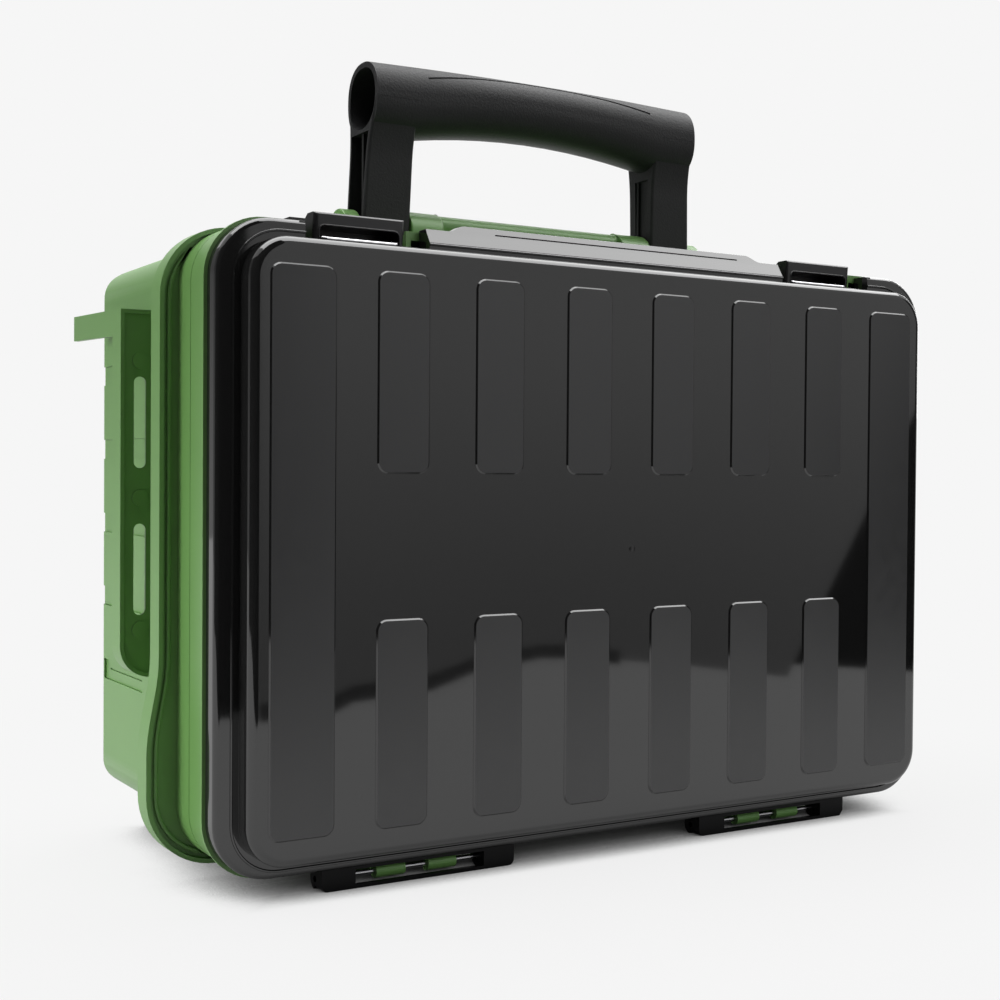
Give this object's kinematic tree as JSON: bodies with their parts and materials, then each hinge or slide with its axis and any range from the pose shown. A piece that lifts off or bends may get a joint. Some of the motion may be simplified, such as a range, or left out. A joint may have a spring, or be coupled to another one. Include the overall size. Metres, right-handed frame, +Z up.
{
  "type": "fishing tackle case",
  "caption": "Hinged tackle case that stands on its hinge side, with a deep tub, a shallow divided tray, a lid, over-centre latches, accessory rails and a folding handle.",
  "frame": {"origin": "on the floor, under the middle of the case's bounding box", "axes": "+Z up, the lid faces -Y, +X is the case's right side as seen from the back and the viewer's right from the front"},
  "size_m": [0.48, 0.2, 0.425],
  "materials": {
    "green_plastic": "satin moulded",
    "dark_green_plastic": "matte moulded",
    "black_plastic": "satin, finely grained",
    "smoke_plastic": "high gloss, pads satin",
    "divider_plastic": "matte",
    "steel": "bright"
  },
  "bodies": {
    "tub": {"tub_shell": "green_plastic", "handle_mount": "green_plastic", "handle_pins": "steel", "side_rail_left": "green_plastic", "side_rail_right": "green_plastic", "rear_feet": "dark_green_plastic", "tub_boards": "divider_plastic", "tray_hinge_pins": "steel", "tray_latch_pins": "steel"},
    "tray": {"tray_frame": "green_plastic", "tray_dividers": "divider_plastic", "lid_hinge_pins": "steel", "lid_latch_pins": "steel"},
    "lid": {"lid_shell": "smoke_plastic", "hinge_leaf_left": "black_plastic", "hinge_leaf_right": "black_plastic"},
    "handle": {"handle": "black_plastic"},
    "latch_lever_left": {"latch_lever_left": "black_plastic"},
    "latch_lever_right": {"latch_lever_right": "black_plastic"},
    "latch_bail_left": {"latch_bail_left": "steel"},
    "latch_bail_right": {"latch_bail_right": "steel"},
    "tray_latch_left": {"tray_latch_left": "black_plastic"},
    "tray_latch_right": {"tray_latch_right": "black_plastic"}
  },
  "joints": [
    {"name": "tray_hinge", "type": "hinge", "parent": "tub", "child": "tray", "pos_m": [0, -0.05375, 0.0052], "axis": [1, 0, 0], "range_deg": [0, 100]},
    {"name": "lid_hinge", "type": "hinge", "parent": "tray", "child": "lid", "pos_m": [0, -0.0752, 0.0052], "axis": [1, 0, 0], "range_deg": [0, 100]},
    {"name": "handle_fold", "type": "hinge", "parent": "tub", "child": "handle", "pos_m": [0, 0.006, 0.333], "axis": [-1, 0, 0], "range_deg": [0, 90]},
    {"name": "latch_lever_left_hinge", "type": "hinge", "parent": "tray", "child": "latch_lever_left", "pos_m": [-0.151, -0.0635, 0.3152], "axis": [-1, 0, 0], "range_deg": [0, 90]},
    {"name": "latch_bail_left_hinge", "type": "hinge", "parent": "latch_lever_left", "child": "latch_bail_left", "pos_m": [-0.151, -0.077, 0.3145], "axis": [-1, 0, 0], "range_deg": [0, 25]},
    {"name": "tray_latch_left_hinge", "type": "hinge", "parent": "tub", "child": "tray_latch_left", "pos_m": [-0.151, -0.034, 0.322], "axis": [-1, 0, 0], "range_deg": [0, 100]},
    {"name": "latch_lever_right_hinge", "type": "hinge", "parent": "tray", "child": "latch_lever_right", "pos_m": [0.143, -0.0635, 0.3152], "axis": [-1, 0, 0], "range_deg": [0, 90]},
    {"name": "latch_bail_right_hinge", "type": "hinge", "parent": "latch_lever_right", "child": "latch_bail_right", "pos_m": [0.143, -0.077, 0.3145], "axis": [-1, 0, 0], "range_deg": [0, 25]},
    {"name": "tray_latch_right_hinge", "type": "hinge", "parent": "tub", "child": "tray_latch_right", "pos_m": [0.143, -0.034, 0.322], "axis": [-1, 0, 0], "range_deg": [0, 100]}
  ]
}
